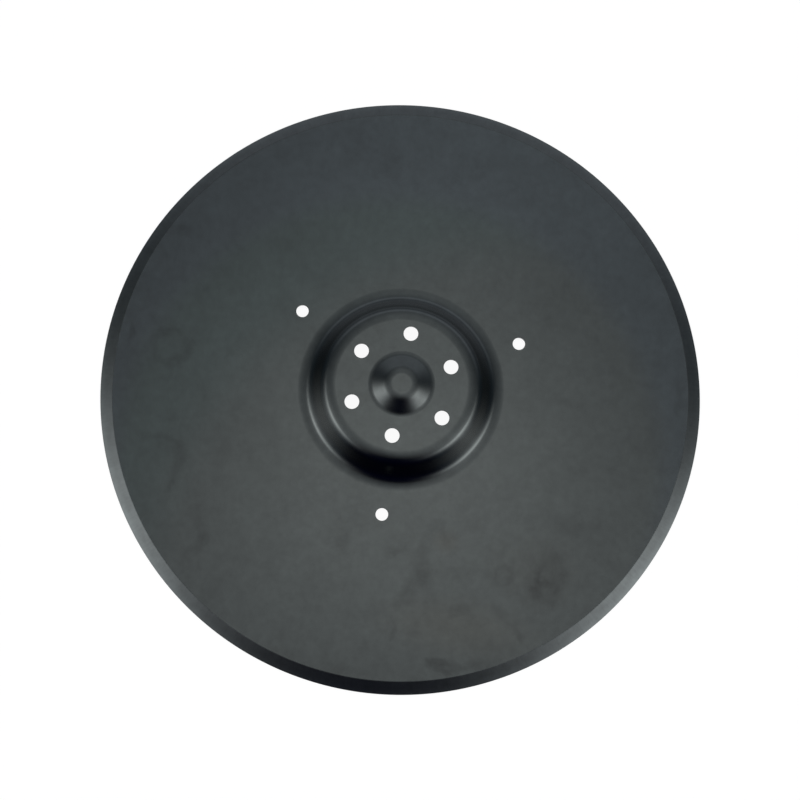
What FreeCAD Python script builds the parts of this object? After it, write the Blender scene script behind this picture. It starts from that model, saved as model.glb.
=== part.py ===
import FreeCAD, Part
import math
import os

# Coulter disc
# One round blade of hardened steel sheet, pressed and ground in one piece. The middle is drawn up
# into a flat-topped cup that carries the hub, the cup's floor has a low conical boss, and the rim is
# ground to a cutting edge on the same side. The sheet keeps one thickness all over, so the back
# repeats the front's form as a hollow. Millimetres and degrees. +Z is the disc's axis and points out
# of the cup's raised side, and the blade's back face lies on Z = 0.

# Blade
DISC_DIAMETER = 400.0
SHEET_THICKNESS = 4.0

# Cutting edge: a cone ground on the raised side
BEVEL_WIDTH = 8.0
EDGE_LAND = 0.7

# Hub cup: the rise is from the blade's face to the cup's floor, and radii are those of the raised side.
# A wide, gentle bend leads into the shoulder's tight one, and another leads out of the base's.
CUP_RISE = 16.3
CUP_WALL_ANGLE = 53.4
CUP_SHOULDER_RADIUS = 7.0
CUP_BASE_RADIUS = 7.5
CUP_EASE_ANGLE = 21.5
CUP_EASE_RADIUS = 18.0

# Centre boss: a low cone with a flat top, pressed up from the cup's floor
BOSS_BASE_DIAMETER = 44.8
BOSS_RISE = 5.45
BOSS_CONE_ANGLE = 25.3
BOSS_TOP_RADIUS = 14.0
BOSS_BASE_RADIUS = 8.5

# Hub bolts: holes in the cup's floor, with flat sheet left between them and the cup's shoulder
HUB_CIRCLE_DIAMETER = 69.0
HUB_HOLE_COUNT = 6
HUB_HOLE_DIAMETER = 9.7
HUB_HOLE_MARGIN = 3.65
HUB_CIRCLE_TURN = -1.7

# Outer holes: spaced evenly in the blade round the cup, the first on this bearing
OUTER_CIRCLE_DIAMETER = 169.4
OUTER_HOLE_COUNT = 3
OUTER_HOLE_DIAMETER = 8.5
OUTER_HOLE_BEARING = 30.0

# How far a hole's cutter stands out of the sheet on each side
CUTTER_OVERRUN = 1.0

# Share of a pressed step's height that its bends may take, so that a straight wall is left
BEND_SHARE_LIMIT = 0.98


def section_point(radius, height):
    """A point of the disc's half section, in the XZ plane."""
    return FreeCAD.Vector(radius, 0, height)


class SheetPath:
    """Walks along the half section of a bent sheet, from the axis outwards, and keeps both faces.

    The walk follows the raised face. The back face is the same walk one thickness below it, so a bend
    that is convex on one face is concave on the other, about one centre.
    """

    def __init__(self, height, thickness):
        self.position = section_point(0, height)
        self.slope = 0.0
        self.thickness = thickness
        self.front = []
        self.back = []

    def normal(self):
        """The unit normal of the raised face at the walk's present slope."""
        return section_point(-math.sin(self.slope), math.cos(self.slope))

    def below(self):
        """The back face's point under the present one."""
        return self.position - self.normal() * self.thickness

    def straight(self, length):
        """Goes on in line for a length."""
        start, start_below = self.position, self.below()
        self.position = start + section_point(math.cos(self.slope), math.sin(self.slope)) * length
        self.front.append(Part.LineSegment(start, self.position))
        self.back.append(Part.LineSegment(start_below, self.below()))

    def bend(self, radius, turn):
        """Turns by an angle in radians, upwards if positive, about a bend radius on the raised face.

        Where the sheet turns down, the raised face is outside the bend and the back face inside it. A
        turn of nothing adds nothing.
        """
        if turn == 0:
            return
        start, start_below, start_normal = self.position, self.below(), self.normal()
        side = math.copysign(1.0, turn)
        centre = start + start_normal * (side * radius)
        inner_radius = radius + side * self.thickness
        self.slope += turn / 2
        middle = centre - self.normal() * (side * radius)
        middle_below = centre - self.normal() * (side * inner_radius)
        self.slope += turn / 2
        self.position = centre - self.normal() * (side * radius)
        self.front.append(Part.Arc(start, middle, self.position))
        self.back.append(Part.Arc(start_below, middle_below, self.below()))

    def step_down(self, rise, angle, top_radius, base_radius, ease_angle=0.0, ease_radius=0.0):
        """Goes down one pressed step: a bend, a sloping wall and the bend back to level.

        With an ease angle, a wider bend takes that much of the turn at each end of the step. All the
        bends are made smaller together where the step is too low to hold them.
        """
        bends_height = 2 * ease_radius * (1 - math.cos(ease_angle))
        bends_height += (top_radius + base_radius) * (math.cos(ease_angle) - math.cos(angle))
        scale = min(1.0, BEND_SHARE_LIMIT * rise / bends_height)
        self.bend(ease_radius * scale, -ease_angle)
        self.bend(top_radius * scale, ease_angle - angle)
        self.straight((rise - bends_height * scale) / math.sin(angle))
        self.bend(base_radius * scale, angle - ease_angle)
        self.bend(ease_radius * scale, ease_angle)


def step_width(*step):
    """How far outwards a pressed step reaches, from where it leaves level to where it is level again."""
    walk = SheetPath(0, SHEET_THICKNESS)
    walk.step_down(*step)
    return walk.position.x


def disc_section():
    """The closed half section of the disc, from the boss's top to the ground edge."""
    boss = (BOSS_RISE, math.radians(BOSS_CONE_ANGLE), BOSS_TOP_RADIUS, BOSS_BASE_RADIUS)
    cup = (
        CUP_RISE,
        math.radians(CUP_WALL_ANGLE),
        CUP_SHOULDER_RADIUS,
        CUP_BASE_RADIUS,
        math.radians(CUP_EASE_ANGLE),
        CUP_EASE_RADIUS,
    )
    path = SheetPath(SHEET_THICKNESS + CUP_RISE + BOSS_RISE, SHEET_THICKNESS)
    path.straight(BOSS_BASE_DIAMETER / 2 - step_width(*boss))
    path.step_down(*boss)
    path.straight(floor_radius() - path.position.x)
    path.step_down(*cup)

    disc_radius = DISC_DIAMETER / 2
    bevel_start = section_point(disc_radius - BEVEL_WIDTH, SHEET_THICKNESS)
    edge_top = section_point(disc_radius, EDGE_LAND)
    edge_bottom = section_point(disc_radius, 0)
    foot, foot_below = path.position, path.below()
    axis_top = path.front[0].StartPoint
    axis_bottom = path.back[0].StartPoint
    outline = path.front + [
        Part.LineSegment(foot, bevel_start),
        Part.LineSegment(bevel_start, edge_top),
        Part.LineSegment(edge_top, edge_bottom),
        Part.LineSegment(edge_bottom, foot_below),
    ] + path.back + [Part.LineSegment(axis_bottom, axis_top)]
    edges = Part.__sortEdges__([piece.toShape() for piece in outline])
    return Part.Face(Part.Wire(edges))


def floor_radius():
    """Radius of the cup's flat floor, where its shoulder starts."""
    return HUB_CIRCLE_DIAMETER / 2 + HUB_HOLE_DIAMETER / 2 + HUB_HOLE_MARGIN


def hole_cutters(count, circle_diameter, hole_diameter, bearing, sheet_back):
    """Cylinders for one circle of through holes in a level stretch of the sheet."""
    cutters = []
    for index in range(count):
        angle = math.radians(bearing + index * 360.0 / count)
        foot = FreeCAD.Vector(
            math.cos(angle) * circle_diameter / 2,
            math.sin(angle) * circle_diameter / 2,
            sheet_back - CUTTER_OVERRUN,
        )
        height = SHEET_THICKNESS + 2 * CUTTER_OVERRUN
        cutters.append(Part.makeCylinder(hole_diameter / 2, height, foot))
    return cutters


def coulter_disc():
    """The whole disc: its section turned about the axis, with both circles of holes cut."""
    blank = disc_section().revolve(FreeCAD.Vector(0, 0, 0), FreeCAD.Vector(0, 0, 1), 360)
    hub_holes = hole_cutters(
        HUB_HOLE_COUNT,
        HUB_CIRCLE_DIAMETER,
        HUB_HOLE_DIAMETER,
        OUTER_HOLE_BEARING + HUB_CIRCLE_TURN,
        CUP_RISE,
    )
    outer_holes = hole_cutters(
        OUTER_HOLE_COUNT,
        OUTER_CIRCLE_DIAMETER,
        OUTER_HOLE_DIAMETER,
        OUTER_HOLE_BEARING,
        0,
    )
    return blank.cut(hub_holes + outer_holes)


def main():
    """Builds the disc, reports it and writes it out."""
    os.makedirs("parts", exist_ok=True)
    disc = coulter_disc()
    solid = disc.Solids[0]
    box = solid.BoundBox
    print(f"coulter_disc: solids {len(disc.Solids)}, valid {disc.isValid()}")
    print(f"size {box.XLength:.2f} x {box.YLength:.2f} x {box.ZLength:.2f}, from Z {box.ZMin:.2f}")
    print(f"volume {solid.Volume / 1000:.1f} cm3, cup floor radius {floor_radius():.2f}")
    solid.exportStep("parts/coulter_disc.step")


main()
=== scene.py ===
"""Dresses the coulter disc and lights it on a plain white floor, as its photograph shows it.

The disc is one sheet of hardened steel under a thin dark lacquer. Its mesh is turned from the same
section as the CAD solid, with every edge rounded by a named radius. So its smooth bends and its
ground edge carry clean reflections.
"""

import logging
import math
from dataclasses import dataclass, field
from enum import Enum

import bpy
from bpy.types import Camera, Material, Mesh, Node, NodeSocket, NodeTree, Object
from mathutils import Matrix, Vector
from mathutils.geometry import delaunay_2d_cdt

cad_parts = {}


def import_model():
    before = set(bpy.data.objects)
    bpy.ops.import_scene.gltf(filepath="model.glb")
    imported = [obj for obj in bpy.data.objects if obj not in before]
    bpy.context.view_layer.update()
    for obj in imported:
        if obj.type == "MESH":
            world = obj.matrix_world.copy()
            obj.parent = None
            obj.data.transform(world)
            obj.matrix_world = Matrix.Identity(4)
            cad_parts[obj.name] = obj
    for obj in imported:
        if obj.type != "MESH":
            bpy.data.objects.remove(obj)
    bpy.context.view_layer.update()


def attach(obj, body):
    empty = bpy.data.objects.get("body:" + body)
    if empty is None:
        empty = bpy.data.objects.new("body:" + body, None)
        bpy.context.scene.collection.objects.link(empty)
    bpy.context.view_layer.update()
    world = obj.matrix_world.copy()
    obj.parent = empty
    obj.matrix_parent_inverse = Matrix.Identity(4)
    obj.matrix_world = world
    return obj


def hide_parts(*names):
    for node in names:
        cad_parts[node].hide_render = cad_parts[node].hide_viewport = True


MM = 0.001
NODE = "coulter_disc"
# How far the picture's level direction is turned from +X, in degrees
PICTURE_TURN = 8.6
# Lengths in millimetres under this one count as nothing
HAIR = 1e-6
# Vertices keep their places in single precision, so level ones may differ by this in millimetres
LEVEL = 1e-3
# A mark's depth through the sheet in millimetres, so great that only its outline on the face counts
THROUGH = 1000.0
# What the triangulation gives back: only the triangles inside the outline
INSIDE = 1
# Sockets of the Mix node for colours, whose names repeat
MIX_SHARE, MIX_COLOUR, MIX_OTHER, MIX_RESULT = 0, 6, 7, 2

log = logging.getLogger("coulter_disc")


def linear(hex_colour: str) -> tuple[float, float, float, float]:
    """Turns an sRGB hex colour into the linear colour that the shaders take.

    Args:
        hex_colour: six hex digits, with or without a leading #.

    Returns:
        Linear red, green and blue, and an alpha of 1.
    """
    digits = hex_colour.lstrip("#")
    channels = [int(digits[i:i + 2], 16) / 255 for i in (0, 2, 4)]
    red, green, blue = (
        c / 12.92 if c <= 0.04045 else ((c + 0.055) / 1.055) ** 2.4 for c in channels
    )
    return (red, green, blue, 1.0)


def add_node(
    tree: NodeTree,
    kind: str,
    settings: dict[str, object] | None = None,
    inputs: dict[str | int, object] | None = None,
) -> Node:
    """Adds a shader node with its settings, its constants and its links.

    Args:
        tree: the node tree that takes the node.
        kind: the node's type name.
        settings: attributes to set on the node.
        inputs: sockets by name or index, each with a constant or with the output socket to link.

    Returns:
        The new node.
    """
    node = tree.nodes.new(kind)
    for name, value in (settings or {}).items():
        setattr(node, name, value)
    for key, value in (inputs or {}).items():
        if isinstance(value, NodeSocket):
            tree.links.new(value, node.inputs[key])
        else:
            node.inputs[key].default_value = value
    return node


def math_node(tree: NodeTree, operation: str, *values: NodeSocket | float) -> NodeSocket:
    """Adds a Math node on up to three numbers and gives its result."""
    node = add_node(tree, "ShaderNodeMath", {"operation": operation}, dict(enumerate(values)))
    return node.outputs["Value"]


def total(
    tree: NodeTree, shares: list[NodeSocket], start: NodeSocket | float
) -> NodeSocket | float:
    """Adds the nodes that sum shares onto a starting value."""
    result = start
    for share in shares:
        result = math_node(tree, "ADD", result, share)
    return result


def vector_node(
    tree: NodeTree, operation: str, *vectors: NodeSocket | tuple, **named: NodeSocket | float
) -> NodeSocket:
    """Adds a Vector Math node on vectors and gives its result.

    Args:
        tree: the node tree that takes the node.
        operation: what the node does.
        vectors: up to three vectors, as sockets or constants.
        named: inputs that go by their name, which is the Scale of a SCALE.

    Returns:
        The result's socket: a number for LENGTH and DISTANCE, and a vector for all else.
    """
    inputs = {**dict(enumerate(vectors)), **named}
    node = add_node(tree, "ShaderNodeVectorMath", {"operation": operation}, inputs)
    return node.outputs["Value" if operation in ("LENGTH", "DISTANCE") else "Vector"]


def mixed_colour(
    tree: NodeTree, share: NodeSocket, colour: NodeSocket | tuple, other: tuple
) -> NodeSocket:
    """Adds a Mix node that turns a share of one linear colour into another."""
    node = add_node(tree, "ShaderNodeMix", {"data_type": "RGBA"}, {
        MIX_SHARE: share, MIX_COLOUR: colour, MIX_OTHER: other,
    })
    return node.outputs[MIX_RESULT]


def new_material(name: str) -> Material:
    """Makes a material with an empty node tree."""
    material = bpy.data.materials.new(name)
    material.use_nodes = True
    material.node_tree.nodes.clear()
    return material


def new_object(name: str, data: Mesh | Camera) -> Object:
    """Makes an object with its data and puts it in the scene."""
    made = bpy.data.objects.new(name, data)
    bpy.context.scene.collection.objects.link(made)
    return made


class Zone(Enum):
    """The parts of the disc's surface that have a finish of their own."""

    RAISED_FACE = 0
    BACK_FACE = 1
    BEVEL = 2
    HOLE_WALL = 3


@dataclass(frozen=True)
class SectionPoint:
    """A point of the disc's half section in millimetres, with the surface's outward normal."""

    radius: float
    height: float
    normal_out: float
    normal_up: float

    def through(self, thickness: float) -> "SectionPoint":
        """Gives the point straight through the sheet, on its other face."""
        return SectionPoint(
            self.radius - self.normal_out * thickness,
            self.height - self.normal_up * thickness,
            -self.normal_out,
            -self.normal_up,
        )


@dataclass(frozen=True)
class HoleCircle:
    """A circle of evenly spaced round holes, in millimetres and degrees."""

    count: int
    circle_diameter: float
    hole_diameter: float
    bearing: float

    def centres(self) -> list[tuple[float, float]]:
        """Gives the holes' centres in the disc's plane."""
        angles = (math.radians(self.bearing + k * 360 / self.count) for k in range(self.count))
        radius = self.circle_diameter / 2
        return [(radius * math.cos(a), radius * math.sin(a)) for a in angles]


@dataclass(frozen=True)
class Bend:
    """A bend of the sheet, by its raised face's radius in millimetres and the slope it ends at."""

    radius: float
    slope: float


@dataclass(frozen=True)
class PressedStep:
    """A step pressed in the sheet: bends down to a sloping wall, and bends back to level.

    Drawn sheet bends softly at first, then tightly round the die, and softly again, so each end of
    a deep step has more than one bend. The wall between takes up what is left of the rise, in
    millimetres.
    """

    rise: float
    leading: tuple[Bend, ...]
    following: tuple[Bend, ...]

    def _arcs(self) -> list[tuple[float, float, float]]:
        """Lists each bend's radius with the slopes in radians where it starts and ends."""
        arcs, slope = [], 0.0
        for bend in self.leading + self.following:
            arcs.append((bend.radius, slope, math.radians(bend.slope)))
            slope = arcs[-1][2]
        return arcs

    def wall_length(self) -> float:
        """Works out the straight wall left between the leading and the following bends."""
        fall = sum(
            radius * abs(math.cos(start) - math.cos(end)) for radius, start, end in self._arcs()
        )
        return (self.rise - fall) / math.sin(math.radians(self.leading[-1].slope))

    def width(self) -> float:
        """Works out how far outwards the step reaches, from level to level."""
        bends = sum(
            radius * abs(math.sin(end) - math.sin(start)) for radius, start, end in self._arcs()
        )
        return bends + self.wall_length() * math.cos(math.radians(self.leading[-1].slope))


@dataclass(frozen=True)
class DiscSizes:
    """The disc's sizes in millimetres and degrees.

    They are the CAD solid's, but for a few tenths of a millimetre at the cup's bends, the bevel and
    the holes. The small radii that the CAD solid leaves sharp are added, and so is the breakout of
    a punched hole: below a short straight land its wall opens by a little towards the back.
    """

    diameter: float = 400.0
    thickness: float = 4.0
    bevel_width: float = 8.4
    edge_land: float = 0.54
    floor_radius: float = 43.0
    cup: PressedStep = PressedStep(
        16.3,
        (Bend(18.7, 18.5), Bend(6.8, 30.0), Bend(10.5, 46.0), Bend(12.5, 57.2)),
        (Bend(20.0, 47.3), Bend(10.5, 30.0), Bend(7.0, 15.2), Bend(21.0, 0.0)),
    )
    boss: PressedStep = PressedStep(5.45, (Bend(14.0, 25.3),), (Bend(8.5, 0.0),))
    boss_base_diameter: float = 44.8
    hub_holes: HoleCircle = HoleCircle(6, 69.0, 9.65, 28.3)
    outer_holes: HoleCircle = HoleCircle(3, 169.4, 8.3, 30.0)
    crease_radius: float = 2.0
    edge_radius: float = 0.2
    hole_edge_radius: float = 0.25
    hole_land: float = 0.8
    hole_breakout: float = 0.5

    @property
    def radius(self) -> float:
        """The disc's radius."""
        return self.diameter / 2

    @property
    def cup_floor(self) -> float:
        """The height of the cup's raised face."""
        return self.thickness + self.cup.rise


@dataclass
class SectionWalk:
    """Walks along the raised face of the bent sheet from the axis outwards and keeps its points."""

    height: float
    step_degrees: float = 2.0
    least_steps: int = 3
    radius: float = 0.0
    slope: float = 0.0
    points: list[SectionPoint] = field(default_factory=list)

    def mark(self) -> None:
        """Keeps the present point, unless it is the last one kept."""
        out, up = math.sin(self.slope), math.cos(self.slope)
        last = self.points[-1] if self.points else None
        if last and math.hypot(last.radius - self.radius, last.height - self.height) < HAIR:
            return
        self.points.append(SectionPoint(self.radius, self.height, out, up))

    def straight(self, length: float) -> None:
        """Goes on in line for a length."""
        self.mark()
        self.radius += length * math.cos(self.slope)
        self.height -= length * math.sin(self.slope)
        self.mark()

    def bend(self, bend_radius: float, slope: float) -> None:
        """Bends to a slope in radians, which is positive where the face falls outwards."""
        start = self.slope
        turn = slope - start
        side = math.copysign(bend_radius, turn)
        centre_radius = self.radius - side * math.sin(start)
        centre_height = self.height - side * math.cos(start)
        steps = max(self.least_steps, math.ceil(abs(math.degrees(turn)) / self.step_degrees))
        for k in range(steps + 1):
            self.slope = start + turn * k / steps
            self.radius = centre_radius + side * math.sin(self.slope)
            self.height = centre_height + side * math.cos(self.slope)
            self.mark()

    def step_down(self, step: PressedStep) -> None:
        """Goes down one pressed step, from level to level."""
        for bend in step.leading:
            self.bend(bend.radius, math.radians(bend.slope))
        self.straight(step.wall_length())
        for bend in step.following:
            self.bend(bend.radius, math.radians(bend.slope))


@dataclass
class DiscSection:
    """The disc's closed half section: out along the raised face, round the edge, and back in."""

    sizes: DiscSizes

    def build(self) -> list[SectionPoint]:
        """Walks the whole outline.

        Returns:
            The outline's points with their normals, from the boss's top on the axis to its back.
        """
        s = self.sizes
        walk = SectionWalk(height=s.cup_floor + s.boss.rise)
        walk.straight(s.boss_base_diameter / 2 - s.boss.width())
        walk.step_down(s.boss)
        walk.straight(s.floor_radius - walk.radius)
        walk.step_down(s.cup)
        back = [point.through(s.thickness) for point in reversed(walk.points)]
        self._edge(walk)
        return walk.points + back

    def _edge(self, walk: SectionWalk) -> None:
        """Walks from the cup's foot out to the ground edge and round it to the back face."""
        s = self.sizes
        fall = math.atan2(s.thickness - s.edge_land, s.bevel_width)
        crease = s.crease_radius * math.tan(fall / 2)
        shoulder = s.edge_radius * math.tan((math.pi / 2 - fall) / 2)
        bevel = math.hypot(s.bevel_width, s.thickness - s.edge_land)
        walk.straight(s.radius - s.bevel_width - crease - walk.radius)
        walk.bend(s.crease_radius, fall)
        walk.straight(bevel - crease - shoulder)
        walk.bend(s.edge_radius, math.pi / 2)
        walk.straight(s.edge_land - shoulder - s.edge_radius)
        walk.bend(s.edge_radius, math.pi)


@dataclass
class SurfaceSketch:
    """Collects a mesh's vertices with their exact normals, and its faces with their zones."""

    places: list[Vector] = field(default_factory=list)
    normals: list[Vector] = field(default_factory=list)
    faces: list[tuple[int, ...]] = field(default_factory=list)
    zones: list[Zone] = field(default_factory=list)

    def vertex(self, place: Vector, normal: Vector) -> int:
        """Adds a vertex in millimetres and gives its index."""
        self.places.append(place)
        self.normals.append(normal)
        return len(self.places) - 1

    def loop(
        self,
        centre: tuple[float, float],
        radius: float,
        height: float,
        normal: tuple[float, float],
        count: int,
    ) -> list[int]:
        """Adds a level circle of vertices.

        Args:
            centre: the circle's centre in the disc's plane.
            radius: the circle's radius.
            height: its height.
            normal: the surface normal there, as its shares away from the centre and upwards.
            count: how many vertices it has.

        Returns:
            The vertices' indices, anticlockwise seen from above.
        """
        indices = []
        for k in range(count):
            angle = 2 * math.pi * k / count
            east, north = math.cos(angle), math.sin(angle)
            place = Vector((centre[0] + radius * east, centre[1] + radius * north, height))
            facing = Vector((normal[0] * east, normal[0] * north, normal[1]))
            indices.append(self.vertex(place, facing))
        return indices

    def band(self, inner: list[int], outer: list[int], zone: Zone) -> None:
        """Joins two circles of as many vertices with quads, the first one first in the walk."""
        count = len(inner)
        for k in range(count):
            following = (k + 1) % count
            self.faces.append((inner[k], outer[k], outer[following], inner[following]))
            self.zones.append(zone)

    def fan(self, centre: int, ring: list[int], upwards: bool) -> None:
        """Closes a circle with triangles about a centre vertex."""
        for k, index in enumerate(ring):
            following = ring[(k + 1) % len(ring)]
            self.faces.append((centre, index, following) if upwards else (centre, following, index))
            self.zones.append(Zone.RAISED_FACE if upwards else Zone.BACK_FACE)

    def sheet(
        self, outer: list[int], inner: list[int], holes: list[list[int]], upwards: bool
    ) -> None:
        """Fills a level ring between two circles, leaving round holes open.

        Args:
            outer: the ring's outer circle.
            inner: its inner circle.
            holes: the holes' circles.
            upwards: whether the ring faces up.
        """
        loops = [outer, inner] + holes
        indices = [index for loop in loops for index in loop]
        flat = [self.places[index].to_2d() for index in indices]
        edges, start = [], 0
        for loop in loops:
            count = len(loop)
            edges += [(start + k, start + (k + 1) % count) for k in range(count)]
            start += count
        openings = [self._circle(loop) for loop in loops[1:]]
        vertices, _, triangles, sources, _, _ = delaunay_2d_cdt(flat, edges, [], INSIDE, HAIR)
        for triangle in triangles:
            middle = sum((vertices[k] for k in triangle), Vector((0, 0))) / 3
            if any((middle - centre).length < radius for centre, radius in openings):
                continue
            corners = tuple(indices[sources[k][0]] for k in triangle)
            self.faces.append(corners if upwards else corners[::-1])
            self.zones.append(Zone.RAISED_FACE if upwards else Zone.BACK_FACE)

    def _circle(self, loop: list[int]) -> tuple[Vector, float]:
        """Gives a circle's centre and radius in the plane."""
        centre = sum((self.places[index].to_2d() for index in loop), Vector((0, 0))) / len(loop)
        return centre, (self.places[loop[0]].to_2d() - centre).length

    def object(self, name: str, materials: dict[Zone, Material]) -> Object:
        """Makes the Blender object, in metres.

        Args:
            name: the object's name.
            materials: the material of each zone.

        Returns:
            The object, smooth all over with its exact normals.
        """
        mesh = bpy.data.meshes.new(name)
        mesh.from_pydata([place * MM for place in self.places], [], self.faces)
        for zone in Zone:
            mesh.materials.append(materials[zone])
        mesh.polygons.foreach_set("material_index", [zone.value for zone in self.zones])
        mesh.polygons.foreach_set("use_smooth", [True] * len(self.faces))
        mesh.normals_split_custom_set_from_vertices(self.normals)
        mesh.update()
        return new_object(name, mesh)


@dataclass
class PressedDisc:
    """The disc itself: a turned section with two circles of punched holes."""

    sizes: DiscSizes
    turns: int = 320
    hole_turns: int = 48
    edge_steps: int = 5

    def build(self) -> Object:
        """Builds the disc's mesh and dresses it.

        Returns:
            The disc, in place.
        """
        sketch = SurfaceSketch()
        points = DiscSection(self.sizes).build()
        rings = [
            sketch.loop((0, 0), p.radius, p.height, (p.normal_out, p.normal_up), self.turns)
            for p in points[1:-1]
        ]
        for point, ring in ((points[0], rings[0]), (points[-1], rings[-1])):
            middle = sketch.vertex(Vector((0, 0, point.height)), Vector((0, 0, point.normal_up)))
            sketch.fan(middle, ring, point.normal_up > 0)
        upper, lower = self._holes(sketch)
        for before, after, first, second in zip(points[1:], points[2:-1], rings, rings[1:]):
            if abs(before.height - after.height) > HAIR:
                sketch.band(first, second, self._zone(before, after))
            elif before.normal_up > 0:
                sketch.sheet(second, first, self._between(upper, sketch, before, after), True)
            else:
                sketch.sheet(first, second, self._between(lower, sketch, after, before), False)
        finishes = {
            Zone.RAISED_FACE: StainedLacquer().material(),
            Zone.BACK_FACE: LacqueredSteel().material(),
            Zone.BEVEL: GroundSteel().material(),
            Zone.HOLE_WALL: PunchedSteel().material(),
        }
        return sketch.object("pressed_disc", finishes)

    def _zone(self, before: SectionPoint, after: SectionPoint) -> Zone:
        """Tells the ground bevel and the edge from the two faces."""
        s = self.sizes
        ground = min(before.radius, after.radius) > s.radius - s.bevel_width - 2 * s.crease_radius
        if ground and before.height <= s.thickness:
            return Zone.BEVEL
        return Zone.RAISED_FACE if before.normal_up > 0 else Zone.BACK_FACE

    def _holes(self, sketch: SurfaceSketch) -> tuple[list[list[int]], list[list[int]]]:
        """Builds every hole's wall with its rounded edges.

        Returns:
            The circles where the walls meet the raised face, and those where they meet the back.
        """
        s = self.sizes
        upper, lower = [], []
        for circle, back in ((s.hub_holes, s.cup.rise), (s.outer_holes, 0.0)):
            for centre in circle.centres():
                rings = self._hole_rings(sketch, centre, circle.hole_diameter / 2, back)
                for first, second in zip(rings, rings[1:]):
                    sketch.band(second, first, Zone.HOLE_WALL)
                upper.append(rings[0])
                lower.append(rings[-1])
        return upper, lower

    def _hole_rings(
        self, sketch: SurfaceSketch, centre: tuple[float, float], radius: float, back: float
    ) -> list[list[int]]:
        """Adds one hole's circles, from the raised face down to the back."""
        s = self.sizes
        rounding, front, wide = s.hole_edge_radius, back + s.thickness, radius + s.hole_breakout
        quarter = [math.pi / 2 * k / self.edge_steps for k in range(self.edge_steps + 1)]
        flare = math.atan2(s.hole_breakout, s.thickness - s.hole_land)
        outline = [
            (
                radius + rounding * (1 - math.sin(a)),
                front - rounding * (1 - math.cos(a)),
                math.pi - a,
            )
            for a in quarter
        ]
        outline.append((radius, front - s.hole_land, (math.pi - flare) / 2))
        outline += [
            (wide + rounding * (1 - math.sin(a)), back + rounding * (1 - math.cos(a)), a)
            for a in reversed(quarter)
        ]
        return [
            sketch.loop(centre, ring, height, (-math.sin(turn), -math.cos(turn)), self.hole_turns)
            for ring, height, turn in outline
        ]

    def _between(
        self,
        loops: list[list[int]],
        sketch: SurfaceSketch,
        inner: SectionPoint,
        outer: SectionPoint,
    ) -> list[list[int]]:
        """Picks the hole circles that lie in one level ring of the sheet."""
        found = []
        for loop in loops:
            place = sketch.places[loop[0]]
            level = abs(place.z - inner.height) < LEVEL
            if level and inner.radius < place.to_2d().length < outer.radius:
                found.append(loop)
        return found


@dataclass(frozen=True)
class StainAndLightMark:
    """A soft-edged mark, in millimetres and degrees on the face: a stain, rust spot or worn band,
    or a wide patch of painted light or shade.

    Its strength is the share of the light that it takes away, and below nothing it brightens the
    place. It is full within its core and gone beyond its border, both as shares of its half sizes.
    A stroke makes it a ring of that half width, such as a dried drop leaves.
    """

    x: float
    y: float
    half_length: float
    half_width: float
    strength: float
    turn: float = 0.0
    stroke: float = 0.0
    core: float = 0.2
    border: float = 1.5

    def share(self, tree: NodeTree, place: NodeSocket) -> NodeSocket:
        """Adds the nodes that work out the mark's strength at a place.

        Args:
            tree: the material's node tree.
            place: the place in millimetres.

        Returns:
            The strength there, which fades to nothing outside the mark.
        """
        local = add_node(tree, "ShaderNodeMapping", {"vector_type": "TEXTURE"}, {
            "Vector": place,
            "Location": (self.x, self.y, 0.0),
            "Rotation": (0.0, 0.0, math.radians(self.turn)),
            "Scale": (self.half_length, self.half_width, THROUGH),
        })
        reach, width = vector_node(tree, "LENGTH", local.outputs["Vector"]), 1.0
        if self.stroke:
            reach = math_node(tree, "ABSOLUTE", math_node(tree, "SUBTRACT", reach, 1.0))
            width = self.stroke / min(self.half_length, self.half_width)
        faded = add_node(tree, "ShaderNodeMapRange", {"interpolation_type": "SMOOTHSTEP"}, {
            "Value": reach,
            "From Min": self.border * width,
            "From Max": self.core * width,
            "To Min": 0.0,
            "To Max": self.strength,
        })
        return faded.outputs["Result"]


@dataclass(frozen=True)
class Unevenness:
    """A cloudy pattern of a real size in millimetres, which swings about nothing by a share."""

    size: float
    swing: float
    detail: float = 2.0
    roughness: float = 0.6

    def share(self, tree: NodeTree, place: NodeSocket) -> NodeSocket:
        """Adds the nodes that work out the pattern at a place in millimetres."""
        clouds = add_node(tree, "ShaderNodeTexNoise", inputs={
            "Vector": place,
            "Scale": 1 / self.size,
            "Detail": self.detail,
            "Roughness": self.roughness,
        })
        swing = add_node(tree, "ShaderNodeMapRange", {"clamp": False}, {
            "Value": clouds.outputs["Fac"],
            "From Min": 0.0,
            "From Max": 1.0,
            "To Min": -self.swing,
            "To Max": self.swing,
        })
        return swing.outputs["Result"]


@dataclass(frozen=True)
class Cast:
    """A tone that the lacquer takes beyond a wide soft circle, in millimetres."""

    x: float
    y: float
    radius: float
    softness: float
    colour: str

    def over(self, tree: NodeTree, place: NodeSocket, colour: NodeSocket | tuple) -> NodeSocket:
        """Adds the nodes that lay the tone over a colour outside the circle."""
        beyond = add_node(tree, "ShaderNodeMapRange", {"interpolation_type": "SMOOTHSTEP"}, {
            "Value": vector_node(tree, "DISTANCE", place, (self.x, self.y, 0.0)),
            "From Min": self.radius - self.softness,
            "From Max": self.radius + self.softness,
        })
        return mixed_colour(tree, beyond.outputs["Result"], colour, linear(self.colour))


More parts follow.
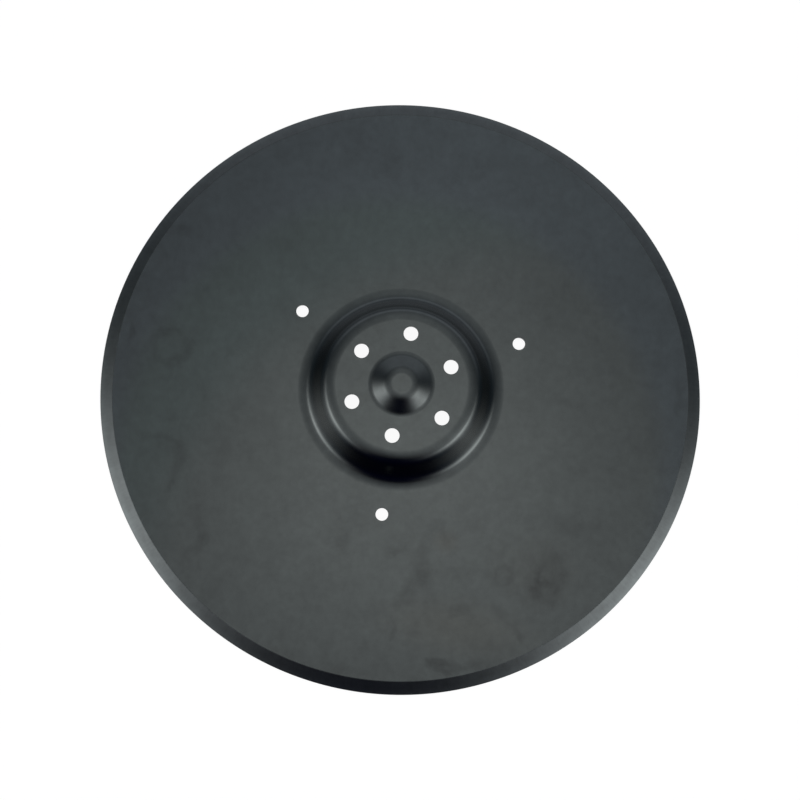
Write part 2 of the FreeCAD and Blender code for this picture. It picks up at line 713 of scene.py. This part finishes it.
@dataclass(frozen=True)
class LacqueredSteel:
    """Hardened steel sheet, rolled and pressed, under a thin dark lacquer, dipped or sprayed on.

    The steel's dark scale gives a satin, faintly blue-green grey, and the clear lacquer over it a
    thin gloss that grows towards grazing view. It lies a little unevenly, in clouds and grain.
    """

    name: str = "lacquered_hardened_steel"
    colour: str = "#3F4443"
    metallic: float = 1.0
    roughness: float = 0.20
    lacquer: float = 1.0
    lacquer_ior: float = 1.5
    base_tone: float = 1.0
    clouds: tuple[Unevenness, ...] = (
        Unevenness(34.0, 0.12),
        Unevenness(12.0, 0.21),
        Unevenness(5.0, 0.24),
        Unevenness(2.2, 0.10, 1.0),
    )
    # How much rougher a full stain is than the clean lacquer
    stain_roughness: float = 0.06
    # The rolled grain is a few hundredths of a millimetre wide. It is drawn 2 mm wide to show.
    grain_size: float = 2.0
    grain_depth: float = 0.004

    def material(self) -> Material:
        """Builds the material's nodes.

        Returns:
            The material, patterned by the piece's own coordinates in millimetres.
        """
        material = new_material(self.name)
        tree = material.node_tree
        own = add_node(tree, "ShaderNodeTexCoord")
        place = vector_node(tree, "SCALE", own.outputs["Object"], Scale=1 / MM)
        wear = self.wear(tree, place)
        tone = math_node(tree, "SUBTRACT", self.tone(tree, place), wear)
        roughness = math_node(tree, "MULTIPLY_ADD", wear, self.stain_roughness, self.roughness)
        relief = add_node(tree, "ShaderNodeBump", inputs={
            "Strength": 1.0, "Distance": self.grain_depth * MM, "Height": self.grain(tree, place),
        })
        shader = add_node(tree, "ShaderNodeBsdfPrincipled", inputs={
            "Base Color": vector_node(tree, "SCALE", self.hue(tree, place), Scale=tone),
            "Metallic": self.metallic,
            "Roughness": roughness,
            "Normal": relief.outputs["Normal"],
            "Coat Weight": self.lacquer,
            "Coat Roughness": roughness,
            "Coat IOR": self.lacquer_ior,
            "Coat Normal": relief.outputs["Normal"],
        })
        add_node(tree, "ShaderNodeOutputMaterial", inputs={"Surface": shader.outputs["BSDF"]})
        return material

    def tone(self, tree: NodeTree, place: NodeSocket) -> NodeSocket:
        """Works out how bright the steel's colour is at a place, about 1."""
        return total(tree, [cloud.share(tree, place) for cloud in self.clouds], self.base_tone)

    def wear(self, tree: NodeTree, place: NodeSocket) -> NodeSocket | float:
        """Works out what stains take off the tone at a place: nothing here."""
        return 0.0

    def hue(self, tree: NodeTree, place: NodeSocket) -> NodeSocket | tuple:
        """Gives the steel's colour, which is plain here."""
        return linear(self.colour)[:3]

    def grain(self, tree: NodeTree, place: NodeSocket) -> NodeSocket:
        """Works out the relief's height at a place, from 0 to 1."""
        return add_node(tree, "ShaderNodeTexNoise", inputs={
            "Vector": self.grain_place(tree, place), "Scale": 1.0, "Detail": 1.0,
        }).outputs["Fac"]

    def grain_place(self, tree: NodeTree, place: NodeSocket) -> NodeSocket:
        """Gives a place in the relief's own measure, in which its marks are about 1 wide."""
        return vector_node(tree, "SCALE", place, Scale=1 / self.grain_size)


@dataclass(frozen=True)
class StainedLacquer(LacqueredSteel):
    """The raised face's lacquer, with the dried runs, drops and smears of its own handling, and
    wide patches of painted light and shade.

    The marks sit in clear lacquer over metal, so each takes more off the metal's colour than it
    takes off the light that the eye gets.
    """

    name: str = "stained_lacquered_steel"
    # How much more a mark takes off the metal's colour than off the light over clear lacquer
    through_lacquer: float = 1.72
    base_tone: float = 1.05
    # The stains' outlines waver by up to half of this, in waves of the size below, in millimetres
    waver: float = 11.0
    waver_size: float = 8.0
    stain_grain: Unevenness = Unevenness(5.0, 0.9)
    # Wide patches of painted light and shade: each darkens the face above nothing and brightens it
    # below nothing, brighter over the middle and the upper half, darker over the lower half and at
    # the rims
    painted_light_patches: tuple[StainAndLightMark, ...] = (
        StainAndLightMark(0.0, 10.0, 140.0, 140.0, -0.058),
        StainAndLightMark(0.0, 0.0, 46.0, 46.0, 0.025),
        StainAndLightMark(-5.0, -186.0, 85.0, 16.0, 0.045),
        StainAndLightMark(-180.0, -2.0, 14.0, 55.0, 0.015),
        StainAndLightMark(112.0, -112.0, 45.0, 30.0, 0.030, turn=-40),
        StainAndLightMark(10.0, 180.0, 70.0, 14.0, -0.074),
        StainAndLightMark(125.0, 125.0, 55.0, 18.0, -0.034, turn=-45),
        StainAndLightMark(30.0, -105.0, 60.0, 40.0, 0.024),
        StainAndLightMark(0.0, 120.0, 110.0, 40.0, -0.082),
        StainAndLightMark(-120.0, 40.0, 40.0, 50.0, -0.057),
        StainAndLightMark(0.0, -75.0, 60.0, 25.0, 0.045),
        StainAndLightMark(150.0, 60.0, 40.0, 60.0, -0.024),
    )
    # Dried runs, drops and smears
    stains: tuple[StainAndLightMark, ...] = (
        StainAndLightMark(-156.2, 4.9, 12.4, 10.7, 0.096, stroke=2.4),
        StainAndLightMark(-150.9, -5.7, 7.3, 4.5, 0.050, turn=15),
        StainAndLightMark(-142.8, 9.8, 3.2, 6.7, 0.035),
        StainAndLightMark(-161.4, 15.0, 11.1, 4.2, 0.030),
        StainAndLightMark(-171.8, -58.6, 8.7, 4.5, 0.011, turn=25),
        StainAndLightMark(-159.8, -56.2, 9.5, 4.5, 0.043, turn=-1),
        StainAndLightMark(-146.8, -58.2, 9.3, 4.5, 0.119, turn=-17),
        StainAndLightMark(-138.5, -63.3, 6.6, 4.5, 0.085, turn=-58),
        StainAndLightMark(-137.1, -71.2, 7.4, 4.5, 0.110, turn=-98),
        StainAndLightMark(-139.6, -79.9, 7.3, 4.5, 0.089, turn=-113),
        StainAndLightMark(-140.1, -89.0, 3.4, 5.8, 0.134),
        StainAndLightMark(-114.5, -112.1, 8.4, 4.8, 0.084, turn=-82),
        StainAndLightMark(-115.2, -120.7, 6.4, 4.8, 0.089, turn=-114),
        StainAndLightMark(-119.3, -127.4, 7.3, 4.8, 0.069, turn=-128),
        StainAndLightMark(-129.5, -111.1, 4.7, 4.5, 0.054),
        StainAndLightMark(-99.8, -146.3, 9.7, 4.5, 0.065, turn=35),
        StainAndLightMark(17.6, -157.5, 2.5, 7.6, 0.113),
        StainAndLightMark(31.5, -155.8, 3.0, 5.8, 0.083),
        StainAndLightMark(13.8, -106.9, 9.2, 4.1, 0.127, turn=32),
        StainAndLightMark(22.1, -135.5, 9.7, 4.8, 0.122, turn=66),
        StainAndLightMark(27.2, -122.4, 10.2, 4.8, 0.084, turn=72),
        StainAndLightMark(30.5, -109.3, 9.2, 4.8, 0.084, turn=80),
        StainAndLightMark(32.3, -97.2, 8.8, 4.8, 0.043, turn=82),
        StainAndLightMark(35.7, -88.5, 6.7, 4.8, 0.049, turn=48),
        StainAndLightMark(40.6, -88.0, 6.2, 4.8, 0.028, turn=-45),
        StainAndLightMark(43.5, -94.9, 7.5, 4.8, 0.053, turn=-83),
        StainAndLightMark(33.0, -121.5, 5.2, 8.0, 0.161),
        StainAndLightMark(55.6, -98.8, 11.0, 3.3, 0.016, turn=12),
        StainAndLightMark(66.6, -92.5, 7.3, 3.3, 0.013, turn=61),
        StainAndLightMark(83.0, -113.2, 6.0, 6.7, 0.070, stroke=2.4),
        StainAndLightMark(112.3, -110.9, 8.9, 14.7, 0.080, turn=-12, stroke=4.5),
        StainAndLightMark(113.9, -113.3, 4.5, 4.5, 0.165),
        StainAndLightMark(113.0, -110.0, 11.0, 14.0, 0.100, turn=-12),
        StainAndLightMark(118.0, -96.0, 8.6, 4.5, 0.040, turn=30),
        StainAndLightMark(123.8, -106.6, 2.5, 3.6, 0.064),
        StainAndLightMark(114.7, -125.4, 6.1, 3.6, 0.062),
        StainAndLightMark(107.2, -113.5, 3.4, 9.4, 0.165),
        StainAndLightMark(126.1, -73.2, 18.1, 6.7, 0.100),
        StainAndLightMark(59.2, -139.3, 6.1, 4.5, 0.105, turn=20),
        StainAndLightMark(85.0, -136.0, 7.0, 3.6, 0.103, turn=-50),
        StainAndLightMark(99.0, -149.9, 6.1, 3.2, 0.152, turn=-65),
        StainAndLightMark(55.2, -175.9, 7.1, 2.7, 0.165, stroke=2.4),
        StainAndLightMark(45.5, -175.2, 4.3, 2.5, 0.030, turn=-20),
        StainAndLightMark(52.5, -174.5, 8.5, 3.8, 0.105, turn=-12),
        StainAndLightMark(77.0, -171.7, 10.9, 4.2, 0.156, turn=5),
        StainAndLightMark(86.7, -166.8, 3.0, 2.7, 0.056),
        StainAndLightMark(-9.9, -187.0, 13.6, 3.2, 0.065),
        StainAndLightMark(-33.7, 153.7, 11.5, 10.7, 0.032, stroke=2.2),
        StainAndLightMark(-32.1, 167.0, 2.3, 3.6, 0.036),
        StainAndLightMark(-33.7, 153.7, 10.3, 9.4, 0.060),
        StainAndLightMark(-19.7, 183.1, 3.4, 4.1, 0.043),
        StainAndLightMark(2.7, 181.0, 9.1, 4.5, 0.053, turn=5),
        StainAndLightMark(-6.2, 170.6, 3.0, 2.3, 0.032),
        StainAndLightMark(-184.2, 11.4, 2.7, 9.4, 0.199),
        StainAndLightMark(184.4, 26.4, 3.4, 3.6, 0.125),
        StainAndLightMark(184.9, 14.5, 2.7, 8.5, 0.119),
        StainAndLightMark(110.2, 101.3, 2.7, 3.2, 0.065),
        StainAndLightMark(142.5, 12.6, 2.3, 3.2, 0.064),
        StainAndLightMark(107.8, 6.8, 10.0, 2.8, 0.050),
        StainAndLightMark(-161.5, 85.8, 6.1, 3.6, 0.135),
        StainAndLightMark(-171.3, 64.0, 3.9, 4.5, 0.059, turn=30),
        StainAndLightMark(-22.4, -104.7, 5.2, 8.0, 0.081),
    )
    casts: tuple[Cast, ...] = (
        Cast(120.0, -150.0, 268.0, 26.0, "#3B4443"),
        Cast(0.0, -50.0, 180.0, 12.0, "#3D4447"),
    )
    rust_colour: str = "#464238"
    rust: tuple[StainAndLightMark, ...] = (
        StainAndLightMark(60.0, -150.0, 45.0, 17.0, 0.20),
        StainAndLightMark(105.0, -105.0, 28.0, 22.0, 0.08),
        StainAndLightMark(44.0, -96.0, 8.0, 7.0, 0.2),
    )

    def tone(self, tree: NodeTree, place: NodeSocket) -> NodeSocket:
        """Works out the tone at a place, with the wide patches of painted light and shade."""
        wide = total(tree, [patch.share(tree, place) for patch in self.painted_light_patches], 0.0)
        wide = math_node(tree, "MULTIPLY", wide, -self.through_lacquer)
        return math_node(tree, "ADD", super().tone(tree, place), wide)

    def wear(self, tree: NodeTree, place: NodeSocket) -> NodeSocket | float:
        """Works out what the stains take off the tone at a place, broken up by some grain."""
        place = self._wavering(tree, place)
        dark = total(tree, [stain.share(tree, place) for stain in self.stains], 0.0)
        broken = math_node(tree, "ADD", self.through_lacquer, self.stain_grain.share(tree, place))
        return math_node(tree, "MULTIPLY", dark, broken)

    def hue(self, tree: NodeTree, place: NodeSocket) -> NodeSocket | tuple:
        """Works out the steel's colour at a place: its casts, and the brown of thin rust."""
        colour = linear(self.colour)
        for cast in self.casts:
            colour = cast.over(tree, place, colour)
        rusty = total(tree, [spot.share(tree, place) for spot in self.rust], 0.0)
        return mixed_colour(tree, rusty, colour, linear(self.rust_colour))

    def _wavering(self, tree: NodeTree, place: NodeSocket) -> NodeSocket:
        """Moves a place about a little, so that the stains have uneven outlines."""
        drift = add_node(tree, "ShaderNodeTexNoise", inputs={
            "Vector": place, "Scale": 1 / self.waver_size, "Detail": 2.0,
        })
        centred = vector_node(tree, "SUBTRACT", drift.outputs["Color"], (0.5, 0.5, 0.5))
        return vector_node(tree, "MULTIPLY_ADD", centred, (self.waver, self.waver, 0.0), place)


@dataclass(frozen=True)
class GroundSteel(LacqueredSteel):
    """The bevel, ground on a wheel before the lacquer: a more neutral grey with faint cross marks.

    Towards the edge it shows a little brighter: partly the lacquer worn thin there, partly a
    painted glare of the white floor round the edge.
    """

    name: str = "lacquered_ground_steel"
    colour: str = "#434848"
    roughness: float = 0.32
    edge_radius: float = 200.0
    # How wide the brighter band at the edge is, in millimetres, and how much brighter it is: worn
    # lacquer and painted glare
    wear_and_glare_width: float = 5.0
    wear_and_glare_share: float = 0.35
    # A wheel's scratches are under 0.1 mm apart. They are drawn 1.1 mm apart to show.
    scratch_spacing: float = 1.1
    scratch_length: float = 9.0
    scratch_swing: float = 0.16
    grain_depth: float = 0.006

    def tone(self, tree: NodeTree, place: NodeSocket) -> NodeSocket:
        """Works out the tone at a place, with the scratches across the bevel."""
        across = self.grain_place(tree, place)
        scratches = Unevenness(1.0, self.scratch_swing, 1.0).share(tree, across)
        # Its border lies inside its core, so this mark grows outwards
        # The brighter band at the edge: worn lacquer and painted glare of the white floor
        wear_and_glare_band = StainAndLightMark(
            0.0,
            0.0,
            self.edge_radius,
            self.edge_radius,
            self.wear_and_glare_share,
            core=1.0,
            border=1 - self.wear_and_glare_width / self.edge_radius,
        )
        return total(tree, [scratches, wear_and_glare_band.share(tree, place)], super().tone(tree, place))

    def grain_place(self, tree: NodeTree, place: NodeSocket) -> NodeSocket:
        """Gives coordinates that run fast round the disc and slowly across the bevel."""
        level = vector_node(tree, "MULTIPLY", place, (1.0, 1.0, 0.0))
        round_disc = vector_node(tree, "NORMALIZE", level)
        spread = self.edge_radius / self.scratch_spacing
        fast = vector_node(tree, "SCALE", round_disc, Scale=spread)
        slow = math_node(tree, "DIVIDE", vector_node(tree, "LENGTH", level), self.scratch_length)
        outwards = add_node(tree, "ShaderNodeCombineXYZ", inputs={"Z": slow})
        return vector_node(tree, "ADD", fast, outwards.outputs["Vector"])


@dataclass(frozen=True)
class PunchedSteel(LacqueredSteel):
    """The holes' walls, sheared by the punch before the lacquer: drag lines and a rougher sheen."""

    name: str = "lacquered_punched_steel"
    colour: str = "#3A3F3F"
    roughness: float = 0.33
    line_spacing: float = 0.6
    line_length: float = 6.0
    grain_depth: float = 0.02

    def grain_place(self, tree: NodeTree, place: NodeSocket) -> NodeSocket:
        """Gives coordinates that run fast round a hole and slowly down its wall."""
        spacing = (self.line_spacing, self.line_spacing, self.line_length)
        return vector_node(tree, "DIVIDE", place, spacing)


def smooth(share: float) -> float:
    """Eases a share from 0 to 1."""
    share = max(0.0, min(1.0, share))
    return share * share * (3 - 2 * share)


def span(azimuth: float, middle: float, half_width: float, softness: float) -> float:
    """Gives 1 within a half width of the middle azimuth, and fades to 0 across its border."""
    off = abs((azimuth - middle + 180) % 360 - 180)
    return smooth((half_width + softness - off) / (2 * softness))


def toward(azimuth: float, tilt: float) -> Vector:
    """Gives the unit vector of a direction, by azimuth and by tilt from straight up, in degrees."""
    azimuth, tilt = math.radians(azimuth), math.radians(tilt)
    return Vector((
        math.sin(tilt) * math.cos(azimuth), math.sin(tilt) * math.sin(azimuth), math.cos(tilt)
    ))


@dataclass(frozen=True)
class Glow:
    """A soft bright patch of the studio tent, seen from the disc, in degrees.

    Azimuths run anticlockwise from the picture's right, and tilts from straight up. The spreads are
    the patch's half widths at half its brightness, and a higher sharpness gives a crisper border.
    """

    azimuth: float
    tilt: float
    tilt_spread: float
    azimuth_spread: float
    radiance: float
    sharpness: float = 2.0
    colour: str = "#FFFFFF"

    def at(self, direction: Vector) -> float:
        """Gives the patch's share of the tent's radiance in a direction."""
        centre = toward(self.azimuth, self.tilt)
        down = toward(self.azimuth, self.tilt + 90)
        along = centre.cross(down)
        off = Vector((direction.dot(down), direction.dot(along))).normalized()
        off *= math.degrees(direction.angle(centre))
        reach = math.hypot(off.x / self.tilt_spread, off.y / self.azimuth_spread)
        return self.radiance * math.exp(-math.log(2) * reach ** self.sharpness)


@dataclass(frozen=True)
class Strip:
    """A soft bright strip low in the studio tent, seen from the disc, in degrees.

    It runs level to both sides of its azimuth and fades out at its ends.
    """

    azimuth: float
    half_width: float
    softness: float
    tilt: float
    tilt_spread: float
    radiance: float
    colour: str = "#FFFFFF"

    def at(self, azimuth: float, tilt: float) -> float:
        """Gives the strip's share of the tent's radiance in a direction."""
        across = span(azimuth, self.azimuth, self.half_width, self.softness)
        return self.radiance * across * 0.5 ** (((tilt - self.tilt) / self.tilt_spread) ** 2)


@dataclass(frozen=True)
class Flag:
    """A black flag that keeps the tent's own light off one side of the disc, in degrees."""

    azimuth: float
    half_width: float
    softness: float
    tilt: float
    tilt_softness: float

    def share(self, azimuth: float, tilt: float) -> float:
        """Gives how much of the tent's light the flag takes away in a direction."""
        across = span(azimuth, self.azimuth, self.half_width, self.softness)
        return across * smooth((tilt - self.tilt) / self.tilt_softness)


@dataclass
class StudioTent:
    """A ball-shaped tent of white cloth, lit in soft patches from outside, with a black flag in it.

    A little blue light spills round the flag, and tints the disc's darkest reflections. The camera
    doesn't see the tent. Lengths are in metres.
    """

    radius: float = 2.6
    room: float = 0.072
    room_colour: str = "#C4E6FF"
    overhead: tuple[Glow, ...] = (
        Glow(79.8, 7.2, 7.2, 7.2, 0.643, colour="#FFFDFA"),
        Glow(80.8, 31.6, 15.3, 21.9, 0.556, colour="#F7F8FA"),
    )
    strip: Strip = Strip(82.0, 52.2, 23.4, 69.5, 14.0, 0.574, "#F0F3FC")
    softboxes: tuple[Glow, ...] = (
        Glow(194.3, 54.2, 10.1, 13.7, 2.32, 1.885),
        Glow(195.2, 54.6, 49.6, 15.5, 0.71),
        Glow(329.0, 54.1, 10.2, 15.2, 2.04, 1.991),
        Glow(330.5, 52.8, 40.0, 13.4, 0.99),
    )
    spill: Glow = Glow(265.0, 60.0, 32.0, 50.0, 0.03, colour="#1450FF")
    flag: Flag = Flag(261.4, 38.7, 4.0, 22.4, 2.0)
    hem_radius: float = 0.22
    hem_height: float = 0.0004
    columns: int = 180
    rows: int = 60

    def radiance(self, azimuth: float, tilt: float) -> Vector:
        """Sums the tent's red, green and blue radiance in a direction."""
        direction = toward(azimuth, tilt)
        tent = Vector(linear(self.room_colour)[:3]) * self.room
        for glow in self.overhead:
            tent += Vector(linear(glow.colour)[:3]) * glow.at(direction)
        tent += Vector(linear(self.strip.colour)[:3]) * self.strip.at(azimuth, tilt)
        tent *= 1 - self.flag.share(azimuth, tilt)
        for box in (*self.softboxes, self.spill):
            tent += Vector(linear(box.colour)[:3]) * box.at(direction)
        return tent

    def build(self) -> None:
        """Builds the tent, and the hem on the floor round the disc that only reflections show."""
        cloth = self._cloth()
        walls = [(90 * row / self.rows, self.radius) for row in range(self.rows + 1)]
        self._sheet("studio_tent", walls, cloth)
        hem = self._sheet("tent_hem", [(90, self.radius), (90, self.hem_radius)], cloth)
        hem.location.z = self.hem_height
        hem.visible_diffuse = False
        hem.visible_shadow = False

    def _sheet(
        self, name: str, rings: list[tuple[float, float]], cloth: Material
    ) -> Object:
        """Builds a turned sheet of cloth with its radiance kept at its vertices.

        Args:
            name: the sheet's name.
            rings: the tilt in degrees and the radius in metres of each ring.
            cloth: its material.

        Returns:
            The sheet, which the camera doesn't see.
        """
        places, values, faces = [], [], []  # a colour takes four values: red, green, blue and alpha
        for tilt, radius in rings:
            for column in range(self.columns):
                azimuth = 360 * column / self.columns
                places.append(toward(azimuth + PICTURE_TURN, tilt) * radius)
                values += [*self.radiance(azimuth, tilt), 1.0]
        for row in range(len(rings) - 1):
            for column in range(self.columns):
                following = (column + 1) % self.columns
                inner, outer = row * self.columns, (row + 1) * self.columns
                faces.append((inner + column, inner + following, outer + following, outer + column))
        mesh = bpy.data.meshes.new(name)
        mesh.from_pydata(places, [], faces)
        attribute = mesh.attributes.new("radiance", "FLOAT_COLOR", "POINT")
        attribute.data.foreach_set("color", values)
        mesh.materials.append(cloth)
        sheet = new_object(name, mesh)
        sheet.visible_camera = False
        return sheet

    def _cloth(self) -> Material:
        """Builds the lit cloth, which glows by the radiance at its vertices."""
        material = new_material("lit_tent_cloth")
        tree = material.node_tree
        kept = add_node(tree, "ShaderNodeAttribute", {"attribute_name": "radiance"})
        glow = add_node(tree, "ShaderNodeEmission", inputs={
            "Color": kept.outputs["Color"], "Strength": 1.0,
        })
        add_node(tree, "ShaderNodeOutputMaterial", inputs={"Surface": glow.outputs["Emission"]})
        return material


@dataclass
class Studio:
    """The white floor, the white room and the tent that lights the disc, in metres."""

    floor_size: float = 14.0
    floor_drop: float = 0.0002
    floor_glow: float = 0.94
    floor_colour: str = "#606060"
    room_brightness: float = 1.0

    def build(self) -> None:
        """Builds the whole studio."""
        self._room()
        self._floor()
        StudioTent().build()

    def _room(self) -> None:
        """Sets the plain white room."""
        world = bpy.data.worlds.new("white_room")
        world.use_nodes = True
        background = world.node_tree.nodes["Background"]
        background.inputs["Color"].default_value = (1, 1, 1, 1)
        background.inputs["Strength"].default_value = self.room_brightness
        bpy.context.scene.world = world

    def _floor(self) -> None:
        """Lays the floor a hair below the disc's back.

        Seen directly or in a reflection it is white, and it keeps the disc's shadow.
        """
        half = self.floor_size / 2
        mesh = bpy.data.meshes.new("floor")
        corners = [(-half, -half), (half, -half), (half, half), (-half, half)]
        mesh.from_pydata([(x, y, -self.floor_drop) for x, y in corners], [], [(0, 1, 2, 3)])
        material = new_material("white_paper")
        tree = material.node_tree
        path = add_node(tree, "ShaderNodeLightPath")
        seen = math_node(
            tree, "MAXIMUM", path.outputs["Is Camera Ray"], path.outputs["Is Glossy Ray"]
        )
        seen = math_node(tree, "MAXIMUM", seen, path.outputs["Is Transmission Ray"])
        glow = add_node(tree, "ShaderNodeEmission", inputs={
            "Color": (1, 1, 1, 1), "Strength": math_node(tree, "MULTIPLY", seen, self.floor_glow),
        })
        paper = add_node(tree, "ShaderNodeBsdfDiffuse", inputs={"Color": linear(self.floor_colour)})
        both = add_node(tree, "ShaderNodeAddShader", inputs={
            0: glow.outputs["Emission"], 1: paper.outputs["BSDF"],
        })
        add_node(tree, "ShaderNodeOutputMaterial", inputs={"Surface": both.outputs["Shader"]})
        mesh.materials.append(material)
        new_object("floor", mesh)


@dataclass
class PhotoCamera:
    """The camera at the photograph's own viewing angle, in metres and degrees.

    The lens and the sensor's width are in millimetres.
    """

    lens: float = 67.78
    sensor_width: float = 36.0
    distance: float = 1.0034
    azimuth: float = -86.77
    elevation: float = 79.81
    roll: float = -5.45
    aim: tuple[float, float, float] = (0.00034, -0.00711, 0.00112)

    def build(self) -> None:
        """Creates the camera and makes it the scene's own."""
        data = bpy.data.cameras.new("photo_camera")
        data.lens = self.lens
        data.sensor_width = self.sensor_width
        data.dof.use_dof = False
        camera = new_object("photo_camera", data)
        back = toward(self.azimuth, 90 - self.elevation)
        right = Vector((0, 0, 1)).cross(back).normalized()
        up = back.cross(right)
        turn = Matrix.Rotation(math.radians(-self.roll), 3, back)
        right, up = turn @ right, turn @ up
        matrix = Matrix((right, up, back)).transposed().to_4x4()
        matrix.translation = Vector(self.aim) + back * self.distance
        camera.matrix_world = matrix
        bpy.context.scene.camera = camera


def main() -> None:
    """Loads the frame, builds the disc and the studio round it, and reports each piece."""
    logging.basicConfig(level=logging.INFO, format="%(message)s")
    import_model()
    bpy.context.scene.view_settings.view_transform = "Standard"

    disc = PressedDisc(DiscSizes()).build()
    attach(disc, "root")
    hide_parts(NODE)
    log.info("%s: %d faces", disc.name, len(disc.data.polygons))

    Studio().build()
    log.info("studio: floor, room and lit tent")
    PhotoCamera().build()
    log.info("camera: at the photograph's viewing angle")


if __name__ == "__main__":
    main()
